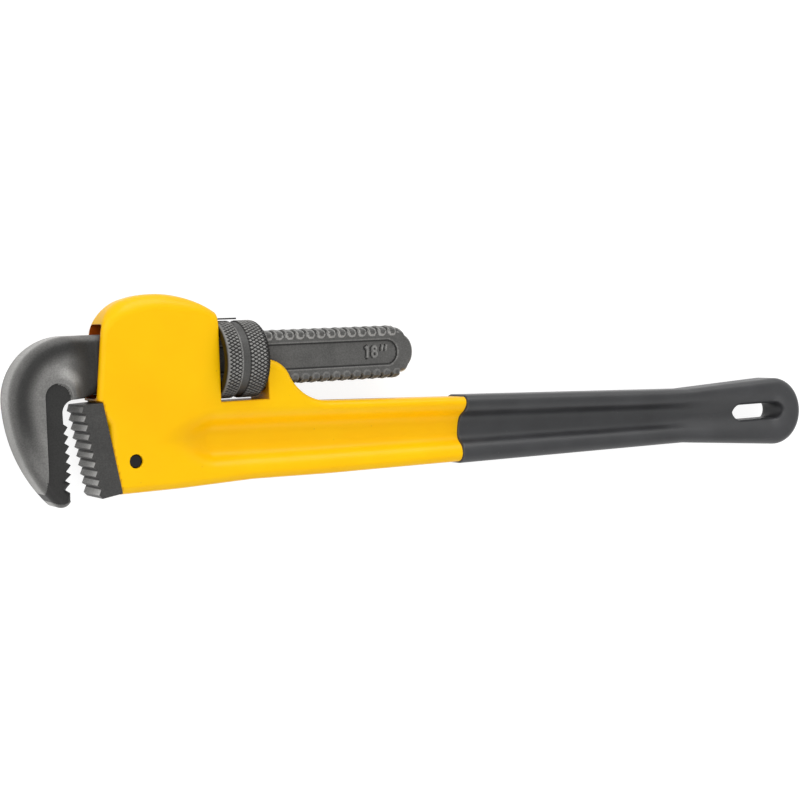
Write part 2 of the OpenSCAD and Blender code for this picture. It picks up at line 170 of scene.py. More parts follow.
def sample(field, axes, chunk=48):
    """The field on a grid, slab by slab."""
    x, y, z = axes
    full = (len(x), len(y), len(z))
    values = np.empty(full, np.float32)
    for i in range(0, full[0], chunk):
        part = field(x[i:i + chunk, None, None], y[None, :, None], z[None, None, :])
        values[i:i + chunk] = np.broadcast_to(part, values[i:i + chunk].shape)
    return values


def grid(start, *stretches):
    """Grid lines from start through stretches of (end, spacing)."""
    lines = [np.array([start], float)]
    for end, spacing in stretches:
        count = max(1, round((end - lines[-1][-1]) / spacing))
        lines.append(np.linspace(lines[-1][-1], end, count + 1)[1:])
    return np.concatenate(lines)


def box_grid(low, high, step):
    """Even grid over a box."""
    return [grid(low[k], (high[k], step)) for k in range(3)]


def crossings(field, axes, values, strides, axis):
    """Where grid edges along an axis cross the surface: points, four cells each, if flipped."""
    inside = values < 0
    one, two = strides[(axis + 1) % 3], strides[(axis + 2) % 3]
    near = [slice(None)] * 3
    far = [slice(None)] * 3
    near[axis], far[axis] = slice(None, -1), slice(1, None)
    crossed = np.argwhere(inside[tuple(near)] != inside[tuple(far)])
    unit = np.eye(3, dtype=int)[axis]
    a = values[tuple(crossed.T)].astype(float)
    b = values[tuple((crossed + unit).T)].astype(float)
    start = np.stack([axes[k][crossed[:, k]] for k in range(3)], 1)
    step = (axes[axis][crossed[:, axis] + 1] - start[:, axis])[:, None] * unit
    lo, hi = np.zeros(len(a)), np.ones(len(a))
    for _ in range(3):
        t = lo + (hi - lo) * np.clip(a / (a - b), 0.02, 0.98)
        p = start + t[:, None] * step
        f = field(p[:, 0], p[:, 1], p[:, 2])
        same = (f < 0) == (a < 0)
        lo, a = np.where(same, t, lo), np.where(same, f, a)
        hi, b = np.where(same, hi, t), np.where(same, b, f)
    t = lo + (hi - lo) * a / (a - b)
    base = crossed @ strides
    round_it = np.stack([base - one - two, base - two, base, base - one], 1)
    return start + t[:, None] * step, round_it, ~inside[tuple(crossed.T)]


def cell_vertices(points, normals, corner, low, high):
    """One vertex a cell, as near as it can be to the tangent planes of the cell's crossings."""
    centre = (low + high) / 2
    count = len(centre)
    matrix, right = np.zeros((count, 3, 3)), np.zeros((count, 3))
    mean, hits = np.zeros((count, 3)), np.zeros(count)
    for k in range(4):
        c = corner[:, k]
        off = points - centre[c]
        reach = np.einsum("ij,ij->i", normals, off)
        hits += np.bincount(c, minlength=count)
        for i in range(3):
            mean[:, i] += np.bincount(c, off[:, i], count)
            right[:, i] += np.bincount(c, normals[:, i] * reach, count)
            for j in range(3):
                matrix[:, i, j] += np.bincount(c, normals[:, i] * normals[:, j], count)
    mean /= hits[:, None]
    matrix += PULL * np.eye(3)
    solved = np.linalg.solve(matrix, (right + PULL * mean)[:, :, None])[:, :, 0]
    return np.clip(centre + solved, low, high)


def contour(name, field, axes):
    """Closed quad mesh of field = 0, by dual contouring, so that sharp edges stay sharp."""
    values = sample(field, axes)
    cells = values.shape
    strides = np.array([cells[1] * cells[2], cells[2], 1])
    found = [crossings(field, axes, values, strides, axis) for axis in range(3)]
    points, quads, flips = [np.concatenate(part) for part in zip(*found)]
    used, corner = np.unique(quads, return_inverse=True)
    corner = corner.reshape(quads.shape)
    at = np.stack([used // strides[0], used // strides[1] % cells[1], used % cells[2]], 1)
    low = np.stack([axes[k][at[:, k]] for k in range(3)], 1)
    high = np.stack([axes[k][at[:, k] + 1] for k in range(3)], 1)
    vertices = cell_vertices(points, normals_at(field, points), corner, low, high)
    corner[flips] = corner[flips][:, ::-1]
    return mesh_object(name, vertices, corner)


def mesh_object(name, points, faces):
    """Object in the row frame from points in mm and an array of quads."""
    mesh = bpy.data.meshes.new(name)
    n, m, k = len(points), len(faces), faces.shape[1]
    mesh.vertices.add(n)
    mesh.vertices.foreach_set("co", ((points + ORIGIN) * MM).astype(np.float32).ravel())
    mesh.loops.add(m * k)
    mesh.loops.foreach_set("vertex_index", faces.astype(np.int32).ravel())
    mesh.polygons.add(m)
    mesh.polygons.foreach_set("loop_start", np.arange(0, m * k, k, dtype=np.int32))
    mesh.update(calc_edges=True)
    return finish_mesh(name, mesh)


def finish_mesh(name, mesh):
    """Object with the mesh, smooth except over its sharp edges."""
    mesh.validate()
    mesh.shade_smooth()
    mesh.set_sharp_from_angle(angle=math.radians(SHARP))
    piece = bpy.data.objects.new(name, mesh)
    bpy.context.scene.collection.objects.link(piece)
    return piece


def shade(piece, tone):
    """Stores the brightness tone(x, y, z) on the mesh, as reflectance, for its material; on several
    pieces it holds painted light and shade.
    """
    mesh = piece.data
    points = np.empty(len(mesh.vertices) * 3, np.float32)
    mesh.vertices.foreach_get("co", points)
    x, y, z = (points.reshape(-1, 3) / MM - ORIGIN).T
    values = np.broadcast_to(tone(x, y, z), x.shape).clip(0, 1) ** 2.2
    layer = mesh.attributes.new("tone", "FLOAT", "POINT")
    layer.data.foreach_set("value", values.astype(np.float32))
    return piece


def lathe(name, profile, steps, shift):
    """Piece turned about X from the (x, radius) points of a closed section, moved out by shift."""
    profile = np.array(profile, float)
    x = np.repeat(profile[:, 0][:, None], steps, 1)
    r = np.repeat(profile[:, 1][:, None], steps, 1)
    a = np.broadcast_to(np.arange(steps) * 2 * math.pi / steps, x.shape)
    r = r + shift(x, r, a)
    points = np.stack([x, r * np.cos(a), r * np.sin(a)], 2).reshape(-1, 3)
    i = np.arange(len(profile))[:, None] * steps
    j = np.arange(steps)[None, :]
    nxt, up = (j + 1) % steps, np.roll(i, -1, 0)
    faces = np.stack([i + j, i + nxt, up + nxt, up + j], 2).reshape(-1, 4)
    return mesh_object(name, points, faces)


def sweep(name, path, section, up):
    """Bar with the given section along a path; section points are (towards up, across)."""
    path, section = np.array(path, float), np.array(section, float)
    along = np.gradient(path, axis=0)
    along /= np.linalg.norm(along, axis=1, keepdims=True)
    across = np.cross(along, up)
    across /= np.linalg.norm(across, axis=1, keepdims=True)
    high = np.cross(across, along)
    rings = (path[:, None] + high[:, None] * section[None, :, :1]
             + across[:, None] * section[None, :, 1:])
    n, m = len(path), len(section)
    i = np.arange(n - 1)[:, None] * m
    j = np.arange(m)[None, :]
    walls = np.stack([i + j, i + m + j, i + m + (j + 1) % m, i + (j + 1) % m], 2)
    caps = [list(range(m)), list(range(n * m - 1, (n - 1) * m - 1, -1))]
    mesh = bpy.data.meshes.new(name)
    points = (rings.reshape(-1, 3) + ORIGIN) * MM
    mesh.from_pydata(points.tolist(), [], walls.reshape(-1, 4).tolist() + caps)
    shape = bmesh.new()
    shape.from_mesh(mesh)
    bmesh.ops.recalc_face_normals(shape, faces=shape.faces)
    shape.to_mesh(mesh)
    shape.free()
    return finish_mesh(name, mesh)


# ---------------------------------------------------------------- casting and grip

HALF_BODY, HALF_WEB, EDGE_R = 9.5, 2.6, 3.8
LIP = (6.6, -15)
SEAT = ((8.5, -15.6), (16.2, -58))
DOME, DOME_R = (36.2, -17.7), 48.3
SHOULDER_R, SHOULDER_AT = 17, 108
SHOULDER = on_circle(DOME, DOME_R - SHOULDER_R, SHOULDER_AT)
FRONT = math.degrees(math.atan2(SHOULDER[1] - LIP[1], SHOULDER[0] - LIP[0])
                     + math.asin(SHOULDER_R / math.dist(LIP, SHOULDER)))
SLOPE = -1.93
KNEE, FLARE = (340.8, -28.7), (336, -55.5)
END, END_R = (402.8, -43.4), 17.5
SADDLE, SADDLE_R, RAMP_R = (88.2, -13.9), 13.5, 22.8
NOTCH_X, NOTCH_LENGTH, NOTCH_LOW = 64.4, 23.8, -18.6
POCKET = ((61.5, -36.1), (400.5, -43.2))
SLOT, SLOT_HALF, SLOT_R = (391.5, -42.9), 12.55, 4.15
CHANNEL_HALF, TONGUE_HALF, TONGUE_GAP = 6.6, 4.5, 0.1
PIN, PIN_R, PIN_GAP = (22.7, -42.3), 3.1, 0.05
COIL_X, COIL_LOW, COIL_HOLE_R, COIL_HOLE_HALF = 38, 33, 4.5, 10
GRIP, GRIP_START, GRIP_BITE = 0.9, 194, 1.4


def ramp_centre():
    """Centre of the arc that touches the saddle and the handle's upper edge."""
    m = math.tan(math.radians(SLOPE))
    b = KNEE[1] - m * KNEE[0] + RAMP_R / math.cos(math.radians(SLOPE)) - SADDLE[1]
    qa, qb = 1 + m * m, 2 * (m * b - SADDLE[0])
    qc = SADDLE[0] ** 2 + b * b - (SADDLE_R + RAMP_R) ** 2
    x = (-qb + math.sqrt(qb * qb - 4 * qa * qc)) / (2 * qa)
    return (x, m * x + b + SADDLE[1])


def end_angle(point, side):
    """Angle on the rounded end at which the straight edge from point touches it."""
    lean = math.degrees(math.asin(END_R / math.dist(END, point)))
    return math.degrees(math.atan2(END[1] - point[1], END[0] - point[0])) + side * (lean + 90)


RAMP = ramp_centre()
RAMP_FROM = math.degrees(math.atan2(RAMP[1] - SADDLE[1], RAMP[0] - SADDLE[0]))
HANDLE_EDGE = [
    (10, -56.6), (44, -56.2), (80, -54.9), (120, -55.5), FLARE,
    (END, END_R, end_angle(FLARE, -1), end_angle(KNEE, 1)),
    KNEE,
    (RAMP, RAMP_R, 270 + SLOPE, RAMP_FROM + 180),
    (SADDLE, SADDLE_R, RAMP_FROM, 95),
]
handle_edge = Outline(*HANDLE_EDGE, (60, -10))
casting_edge = Outline(
    *HANDLE_EDGE, (77, 2), (73, 10),
    (DOME, DOME_R, 46, SHOULDER_AT),
    (SHOULDER, SHOULDER_R, SHOULDER_AT, FRONT + 90),
    (LIP[0] - 0.4, LIP[1] - 3), (11, -26))
channel_edge = Outline((-20, -14.2), (140, -14.2), (140, 20.1), (64.4, 20.1), (50, 23.2),
                       (36, 25), (22, 23.5), (12, 17.9), (-20, 17.9))
seat_edge = Outline((-30, -13.4), (-30, -70), (18.4, -70), SEAT[1], SEAT[0], LIP)
tongue_edge = Outline((5, -18.6), (5, -52.2), (29.2, -50.5), (29.2, -22.5))


def pocket_end(x):
    """0 along most of the pocket, 1 at its softer rear end."""
    return step_up(x, 305, 375)


def pocket(x, y, z):
    """Long dished recess in both sides of the handle, pointed in front and narrower behind."""
    run = (POCKET[1][0] - POCKET[0][0], POCKET[1][1] - POCKET[0][1])
    length = math.hypot(*run)
    along = ((x - POCKET[0][0]) * run[0] + (y - POCKET[0][1]) * run[1]) / length
    across = abs((x - POCKET[0][0]) * run[1] - (y - POCKET[0][1]) * run[0]) / length
    narrowing = np.clip((x - 100) / 280, 0, 1)
    mouth = 11 - 3.8 * narrowing
    floor = mouth - 5.2 + 2.4 * narrowing
    rise = np.clip((abs(z) - HALF_WEB) / (HALF_BODY - HALF_WEB), -0.2, 1.2)
    high = blend(floor, mouth, rise)
    power = 1.55
    front = np.maximum(-along, 0) / np.maximum(5 + 16 * rise, 1)
    pointed = ((front ** power + (across / high) ** power) ** (1 / power) - 1) * high
    straight = np.hypot(np.maximum(along - length, 0), across) - high
    wall = np.where(along < 0, pointed, straight) * 0.82
    return smooth_max(wall, HALF_WEB - abs(z), 3.0 + 5.0 * pocket_end(x))


def less_pocket(solid, x, y, z):
    """The solid without the pocket."""
    return smooth_max(solid, -pocket(x, y, z), 3.4 + 4.0 * pocket_end(x))


def side_rounding(x, y):
    """Edge radius: soft on the crown, tight down the front edge, even on the handle."""
    crown = 2.2 + 5.2 * step_up(y + 0.35 * x, 14, 34) - 3 * step_up(x, 44, 62)
    housing = step_up(-x, -88, -66) * step_up(y, -30, -14)
    return blend(EDGE_R, crown, housing)


def notch_field(x, y):
    """Flat field of the notch in which the nut turns, open at the top."""
    return np.maximum(abs(x - NOTCH_X - NOTCH_LENGTH / 2) - NOTCH_LENGTH / 2, NOTCH_LOW - y)


def channel_field(x, y, z):
    """Field of the channel that guides the shank."""
    return smooth_max(channel_edge(x, y), abs(z) - CHANNEL_HALF, 2.0)


def slot_field(x, y, radius):
    """Flat field of the hanging slot."""
    return capsule(x, y, (SLOT[0] - SLOT_HALF, SLOT[1]), (SLOT[0] + SLOT_HALF, SLOT[1]), radius)


def pin_circle(x, y, gap=0.0):
    """Flat field of the heel jaw's pin, or of its bore, which is wider by a gap."""
    return np.hypot(x - PIN[0], y - PIN[1]) - PIN_R - gap


def handle_field(x, y, z):
    """The handle alone, which the sleeve follows."""
    return less_pocket(plate(handle_edge(x, y), z, HALF_BODY, EDGE_R), x, y, z)


def casting_field(x, y, z):
    """Handle and jaw housing with everything that is cast or cut into them."""
    solid = plate(casting_edge(x, y), z, HALF_BODY, side_rounding(x, y))
    solid = less_pocket(solid, x, y, z)
    solid = smooth_max(solid, -notch_field(x, y), 0.5)
    solid = np.maximum(solid, -channel_field(x, y, z))
    solid = np.maximum(solid, -seat_edge(x, y))
    tongue_slot = np.maximum(tongue_edge(x, y), abs(z) - TONGUE_HALF - TONGUE_GAP)
    solid = np.maximum(solid, -tongue_slot)
    solid = smooth_max(solid, -pin_circle(x, y, PIN_GAP), 0.5)
    coil_hole = np.maximum(np.hypot(x - COIL_X, z) - COIL_HOLE_R,
                           abs(y + COIL_LOW - COIL_HOLE_HALF) - COIL_HOLE_HALF)
    solid = np.maximum(solid, -coil_hole)
    return np.maximum(solid, -slot_field(x, y, SLOT_R + GRIP))


def grip_field(x, y, z):
    """Vinyl sleeve, which lines the slot and reaches GRIP_BITE into the casting."""
    skin = handle_field(x, y, z)
    front = GRIP_START + 0.13 * (y + 42) - x
    solid = smooth_max(skin - GRIP, front, 1.1)
    slot = slot_field(x, y, SLOT_R)
    solid = smooth_max(solid, -slot, 1.6)
    return np.maximum(solid, -np.maximum(skin + GRIP_BITE, GRIP - slot))


# ---------------------------------------------------------------- jaws

HOOK_HALF, NECK_HALF, SHANK_R, SHANK_END = 10.6, 6.1, 12.7, 169.2
BACK, BACK_R, BACK_END = (-4.35, -13.9), 27.4, 182
LOW_R, TIP_R, TIP_AT = 67.9, 4.3, 222.9
LOW = on_circle(BACK, BACK_R - LOW_R, BACK_END)
TIP = on_circle(LOW, LOW_R - TIP_R, TIP_AT)
PITCH, THREAD_DEPTH, THREAD_VALLEY = 5.5, 1.4, 115.1
TOOTH_PITCH, TOOTH_DEPTH = 4.07, 1.9
RECESS_TOP, RECESS_LOW, RECESS_R, RECESS_DEPTH = (-11.3, -12.4), (-11.3, -51.5), 6, 1.1
PANEL_START, PANEL_END, PANEL_R, PANEL_DEPTH = 28, SHANK_END - 15.9, 5.9, 0.7
MARK_X, MARK_HALF = 147.6, 0.38
HEEL_LEAN = 9.6


def teeth(first, lean, count, depth, drop):
    """Tips and valleys of a row of teeth, walked downwards; a valley lies drop below its tip."""
    lean = math.radians(lean)
    points = []
    for i in range(count):
        x = first[0] + i * TOOTH_PITCH * math.sin(lean)
        y = first[1] - i * TOOTH_PITCH * math.cos(lean)
        points += [(x, y), (x + depth, y - drop)]
    return points[:-1]


HOOK_TEETH = teeth((-7.7, -25.3), 2.2, 8, -TOOTH_DEPTH, TOOTH_PITCH - 1.38)
hook_edge = Outline(
    (19, 10.4), (12, 13.5), (BACK, BACK_R, 90, BACK_END), (LOW, LOW_R, BACK_END, TIP_AT),
    (TIP, TIP_R, TIP_AT, 340), (-6.7, -57.0), *HOOK_TEETH[::-1], (-9.6, -23.92),
    ((-4, -19.4), 5.7, 180, 90), (1.5, -13.6), (9, -11.2), (19, -10.4))
recess_edge = Outline((RECESS_LOW, RECESS_R, 180, 270), (10, -57.5), (10, -14.4),
                      (-5.3, -14.4), (RECESS_TOP, RECESS_R, 0, 180))


def from_axis(x, across):
    """Distance from the shank's axis, or from the centre of its round end beyond that."""
    return np.hypot(np.maximum(x - SHANK_END + SHANK_R, 0), across)


def thread(x, y, z):
    """Field of the round-crested thread, which fades out at the shank's rounded end."""
    phase = (x - THREAD_VALLEY) / PITCH - (np.arctan2(z, y)) / (2 * math.pi)
    wave = abs(np.cos(math.pi * phase)) ** 1.5
    fade = step_up(x, 18, 24) * (1 - step_up(x, SHANK_END - 7, SHANK_END - 1))
    return (from_axis(x, np.hypot(y, z)) - SHANK_R + THREAD_DEPTH * wave * fade) * 0.8


def hook_shape(x, y):
    """Distance in from the back, distance out from the recess, and how far the neck has begun."""
    upper = BACK_R - np.hypot(np.minimum(x - BACK[0], 0), y - BACK[1])
    lower = LOW_R - np.hypot(x - LOW[0], y - LOW[1])
    inward = np.where(y > BACK[1] - 0.035 * (BACK[0] - x), upper, lower)
    return inward, capsule(x, y, RECESS_TOP, RECESS_LOW, RECESS_R), step_up(x, -8, 5)


def hook_half(x, y):
    """Half thickness of the hook: a soft trough between full rim and boss, then the thin neck."""
    inward, outward, neck = hook_shape(x, y)
    boss = step_up(outward, 1, 10)
    rim = step_up(inward, 2, 10)
    side = HOOK_HALF - 0.7 * boss * rim * (1 - neck)
    return side + (NECK_HALF - side) * neck * step_up(outward, 0, 5)


def panel_field(x, y):
    """Flat field of the sunk panel along the shank's flats."""
    return capsule(x, y, (PANEL_START, 0), (PANEL_END, 0), PANEL_R)


def hook_field(x, y, z):
    """Hook and shank in one, with recess, panels, raised size mark and crest ends."""
    inward, _, neck = hook_shape(x, y)
    back = 1 - step_up(inward, 8, 16)
    solid = plate(hook_edge(x, y), z, hook_half(x, y), 0.9 + (5.1 - 1.4 * neck) * back)
    recess = np.maximum(recess_edge(x, y), HOOK_HALF - RECESS_DEPTH - abs(z))
    solid = smooth_max(solid, -recess, 0.3)
    shank = smooth_max(thread(x, y, z), abs(z) - NECK_HALF, 0.3)
    solid = smooth_min(solid, np.maximum(shank, 8 - x), 0.8)
    panel = np.maximum(panel_field(x, y), NECK_HALF - PANEL_DEPTH - abs(z))
    solid = smooth_max(solid, -panel, 0.4)
    ends = smooth_max(crest_ends(x, y, z), abs(z) - NECK_HALF - 0.5, 0.8)
    ends = np.maximum(ends, np.hypot(y, z) - SHANK_R + 0.2)
    mark = np.maximum(size_mark(x, y, z) - MARK_HALF, abs(z) - NECK_HALF + 0.3)
    return np.minimum(smooth_min(solid, ends, 0.5), np.maximum(mark, 5 - abs(z)))


def crest_ends(x, y, z):
    """Flat field of the rounded ends in which the thread's crests run out on the flats."""
    turn = np.arctan2(NECK_HALF * np.sign(z), SHANK_R * 0.87 * np.sign(y)) / (2 * math.pi)
    phase = (x - THREAD_VALLEY) / PITCH - turn
    beside = (phase - np.floor(phase) - 0.5) * PITCH
    ends = np.hypot(beside, np.maximum(9.9 - abs(y), 0)) - 1.9
    return np.maximum(ends, np.maximum(20 - x, x - SHANK_END + 9))


def size_mark(x, y, z, shift=0.0):
    """Flat distance to the strokes of the nominal size, 18 inches, readable on both faces."""
    across = MARK_X + (x - MARK_X) * np.where(z > 0, 1, -1) + shift
    strokes = [((143.0, -2.2), (143.2, 3.0)), ((143.2, 3.0), (142.2, 2.3)),
               ((151.1, 1.2), (151.6, 3.3)), ((153.2, 1.2), (153.7, 3.3))]
    marks = [capsule(across, y, a, b, 0) for a, b in strokes]
    for centre, r in (((147.0, 1.8), 1.05), ((147.0, -0.6), 1.3)):
        marks.append(abs(np.hypot(across - centre[0], y - centre[1]) - r))
    return np.minimum.reduce(marks)


def shank_tone(x, y, z):
    """Brightness of the shank, with painted highlights and painted shade; on its flats each part in
    the list covers those before it.
    """
    crest = step_up(np.hypot(y, z), SHANK_R - 1.2, SHANK_R - 0.1)
    # painted highlight on the thread's crests, stronger on the upper side
    level = 0.27 + 0.22 * crest * (0.75 + 0.25 * np.sign(y))
    ends, panel, mark = crest_ends(x, y, z), panel_field(x, y), size_mark(x, y, z)
    flat = abs(z) > 5
    for part, value in (
            (flat, 0.345),
            (ends < 0.3, 0.33),
            # painted highlight round the crest ends, lighter on the upper side
            ((ends < 0.3) & (ends > -0.6), 0.5 + 0.09 * np.sign(y)),
            # painted highlight just outside the panel's edge, painted shade just inside it
            (abs(panel - 0.5) < 0.35, 0.46),
            ((panel > -0.5) & (panel < 0.15), 0.2),
            # painted highlight on the raised digits, painted shadow beside them
            (mark < 0.42, 0.5),
            ((mark > 0.45) & (size_mark(x, y, z, 0.6) < 0.9), 0.13)):
        level = np.where(flat & part, value, level)
    # painted highlight along the shank's rounded end
    inward = SHANK_R - from_axis(x, y)
    rim = (1 - step_up(inward, 0.8, 2.2)) * step_up(x, SHANK_END - 9, SHANK_END - 6)
    return level + 0.6 * rim


def hook_tone(x, y, z):
    """Brightness of the jaw: painted light on the rim and boss, painted shade in the trough, on the
    neck and in the recess.
    """
    inward, outward, neck = hook_shape(x, y)
    # lighter towards the bottom of the hook
    low = step_up(-y, 18, 46)
    # painted light on the back rim, brightest across the middle of its rounded edge
    rim = blend(0.66 - 0.3 * step_up(abs(z), 2, 9), 0.42, neck)
    # painted shade in the trough and on the neck, painted light on the boss
    trough = blend(0.2 + 0.24 * low, 0.19, neck)
    boss = blend(0.47 + 0.07 * low, 0.19, neck)
    level = blend(trough, boss, step_up(inward, 4.5, 11.5))
    level = blend(rim, level, step_up(inward, 0.9, 3.6))
    # painted highlight in a band round the upper right of the recess
    turn = np.arctan2(y - RECESS_TOP[1], x - RECESS_TOP[0])
    ring = step_up(outward, 1, 4) * (1 - step_up(outward, 5, 9))
    painted_highlight = ring * (1 - step_up(abs(turn - 1), 0.2, 0.8))
    level = blend(level, 1, 0.3 * painted_highlight)
    # painted shadow under the neck
    shadow = step_up(x, 0, 5) * step_up(-y - 12 + 0.75 * x, 0, 4)
    level = level * (1 - 0.55 * shadow)
    # painted shade on the floor of the recess
    sunk = np.where((outward < 0.8) & (x > -17.8), step_up(HOOK_HALF - abs(z), 0.1, 0.9), 0)
    level = blend(level, 0.19, sunk)
    # painted highlight along the recess's upper edge
    lip_highlight = (abs(outward) < 0.6) & (turn > -0.3) & (turn < 1.5)
    level = np.where(lip_highlight, 0.5, level)
    return blend(level, shank_tone(x, y, z), step_up(x, 14, 24))


HEEL_TEETH = teeth((-1.18, -19.49), HEEL_LEAN, 10, TOOTH_DEPTH, 1.1)
heel_edge = Outline((8.4, -15.95), (-0.2, -16.4), *HEEL_TEETH, (6.4, -57.3), (15.7, -55.8))


def heel_field(x, y, z):
    """Heel jaw with its tongue, bored for the pin."""
    solid = plate(heel_edge(x, y), z, 9.9, 0.3)
    tongue = np.maximum(abs(z) - TONGUE_HALF, 9 - x)
    solid = np.minimum(solid, np.maximum(tongue_edge(x, y) + TONGUE_GAP, tongue))
    return np.maximum(solid, -pin_circle(x, y, PIN_GAP))


def pin_field(x, y, z):
    """Heel jaw pin, its ends sunk a millimetre below the casting's faces."""
    return smooth_max(pin_circle(x, y), abs(z) - HALF_BODY + 1, 0.8)


# ---------------------------------------------------------------- nut and springs

NUT_LENGTH, NUT_R, NUT_BORE = 22.3, 17.7, 13.4
NUT_END_R, NUT_CHAMFER = 3.6, 0.6
GROOVE_FROM, GROOVE_TO, GROOVE_DEPTH = NUT_X + 8.0, NUT_X + 11.5, 0.7
KNURLS, KNURL_SLANT, KNURL_TOP, KNURL_DEPTH = 62, 30, 0.8, 0.7
NUT_STEPS = 9 * KNURLS


def nut_profile():
    """Closed section of the nut, fine along the gripping bands, in (x, radius)."""
    end = NUT_X + NUT_LENGTH
    skin = [(NUT_X + x, NUT_R) for x in np.arange(0.8, 18.6, 0.22)]
    rim = [(end - NUT_END_R + NUT_END_R * math.sin(a), NUT_R - NUT_END_R + NUT_END_R * math.cos(a))
           for a in np.radians(np.arange(0, 91, 5))]
    return ([(NUT_X, NUT_BORE + NUT_CHAMFER), (NUT_X, NUT_R - 0.5), (NUT_X + 0.5, NUT_R)]
            + skin + rim
            + [(end, NUT_BORE + NUT_CHAMFER), (end - NUT_CHAMFER, NUT_BORE),
               (NUT_X + NUT_CHAMFER, NUT_BORE)])


def knurl(x, r, a):
    """Diamond knurl on the two bands and the smooth groove between them."""
    along = (x - NUT_X) / (2 * math.pi * NUT_R / KNURLS) * math.tan(math.radians(KNURL_SLANT))
    waves = []
    for side in (1, -1):
        phase = (a * KNURLS / (2 * math.pi) + side * along) % 1
        waves.append(1 - abs(2 * phase - 1))
    diamonds = np.minimum(np.minimum(*waves) * 2 * KNURL_TOP, KNURL_TOP)
    inside = (r > NUT_R - 2.4) & (x > NUT_X + 1.0) & (x < NUT_X + NUT_LENGTH - 0.5)
    groove = (step_up(x, GROOVE_FROM - 0.4, GROOVE_FROM)
              * (1 - step_up(x, GROOVE_TO, GROOVE_TO + 0.4)))
    edge = step_up(x, NUT_X + 1.0, NUT_X + 1.5) * (1 - groove)
    cut = -GROOVE_DEPTH * groove + (diamonds - KNURL_TOP) * KNURL_DEPTH * edge
    return np.where(inside, cut, 0)


LEAF, LEAF_WIDTH, LEAF_EDGE = 0.7, 8, 0.2
BOW, BOW_FRONT_R, BOW_REAR_R, LEAF_TURN_R = (40, SHANK_R + 0.3 + LEAF / 2), 25, 36, 20
TAIL_Y, LEAF_END = NUT_R + 0.5 + LEAF / 2, 75.8
COIL_R, WIRE_R, COIL_TURNS, COIL_STEPS = 3.3, 0.55, 6, 24


def leaf_path():
    """Middle line of the flat spring, from its front end over the bow to the tail above the nut."""
    front = (BOW[0], BOW[1] + BOW_FRONT_R)
    rear = (BOW[0], BOW[1] + BOW_REAR_R)
    lean = math.degrees(math.acos(1 - (TAIL_Y - BOW[1]) / (BOW_REAR_R + LEAF_TURN_R)))
    turn = on_circle(rear, BOW_REAR_R + LEAF_TURN_R, lean - 90)
    path = [on_circle(front, BOW_FRONT_R, a) for a in np.arange(228, 270, 3)]
    path += [on_circle(rear, BOW_REAR_R, 270 + lean * i / 10) for i in range(11)]
    path += [on_circle(turn, LEAF_TURN_R, 90 + lean * i / 10) for i in range(9, -1, -1)]
    path += [(x, TAIL_Y) for x in np.linspace(turn[0], LEAF_END, 9)[1:]]
    return [(x, y, 0) for x, y in path]


def coil_path():
    """Middle line of the coil spring, closed up to dead turns at both ends."""
    low, high = WIRE_R + 0.1 - COIL_LOW, -SHANK_R - 0.3 - WIRE_R
    path = []
    for i in range(COIL_TURNS * COIL_STEPS + 1):
        turn = i / COIL_STEPS
        share = step_up(turn, 0.3, COIL_TURNS - 0.3) * 0.35 + turn / COIL_TURNS * 0.65
        a = 2 * math.pi * turn
        path.append((COIL_X + COIL_R * math.cos(a), blend(low, high, share), COIL_R * math.sin(a)))
    return path


# ---------------------------------------------------------------- materials

class Paint:
    """A node material being built; every pattern reads the piece's own object coordinates."""

    def __init__(self, name, **sockets):
        self.material = bpy.data.materials.new(name)
        self.material.use_nodes = True
        self.tree = self.material.node_tree
        self.shader = self.tree.nodes["Principled BSDF"]
        for key, value in sockets.items():
            self.shader.inputs[key.replace("_", " ")].default_value = value
        self.place = self.tree.nodes.new("ShaderNodeTexCoord").outputs["Object"]

    def add(self, kind, inputs, **settings):
        """New node; each input is a value or another node's output."""
        node = self.tree.nodes.new(kind)
        for key, value in settings.items():
            setattr(node, key, value)
        for key, value in inputs.items():
            if isinstance(value, bpy.types.NodeSocket):
                self.tree.links.new(value, node.inputs[key])
            else:
                node.inputs[key].default_value = value
        return node

    def noise(self, scale, detail=3.0):
        """Noise from 0 to 1, finer at a larger scale."""
        fields = {"Vector": self.place, "Scale": scale, "Detail": detail, "Roughness": 0.55}
        return self.add("ShaderNodeTexNoise", fields).outputs["Fac"]

    def spots(self, scale, size):
        """1 inside small round spots scattered about one per cell."""
        cell = self.add("ShaderNodeTexVoronoi", {"Vector": self.place, "Scale": scale})
        return self.between(cell.outputs["Distance"], size, size * 0.6)

    def times(self, a, b):
        """Product of two values."""
        return self.add("ShaderNodeMath", {0: a, 1: b}, operation="MULTIPLY").outputs[0]

    def tone(self):
        """The brightness that shade() stored on the mesh."""
        return self.add("ShaderNodeAttribute", {}, attribute_name="tone").outputs["Fac"]

    def between(self, value, low, high, first=0.0, last=1.0):
        """The value's range from low to high, stretched to run from first to last."""
        fields = {"Value": value, "From Min": low, "From Max": high,
                  "To Min": first, "To Max": last}
        return self.add("ShaderNodeMapRange", fields).outputs["Result"]

    def mix(self, share, a, b):
        """Colour the given share of the way from a to b."""
        a, b = [(*v, 1) if isinstance(v, tuple) else v for v in (a, b)]
        node = self.add("ShaderNodeMix", {0: share, 6: a, 7: b}, data_type="RGBA")
        return node.outputs[2]

    def end(self, colour, rough, bumps):
        """Connects colour and roughness, and stacks bumps of (height, depth in mm)."""
        self.tree.links.new(colour, self.shader.inputs["Base Color"])
        self.tree.links.new(rough, self.shader.inputs["Roughness"])
        normal = None
        for height, depth in bumps:
            fields = {"Height": height, "Distance": depth * MM, "Strength": 1.0}
            if normal is not None:
                fields["Normal"] = normal
            normal = self.add("ShaderNodeBump", fields).outputs["Normal"]
        self.tree.links.new(normal, self.shader.inputs["Normal"])
        return self.material


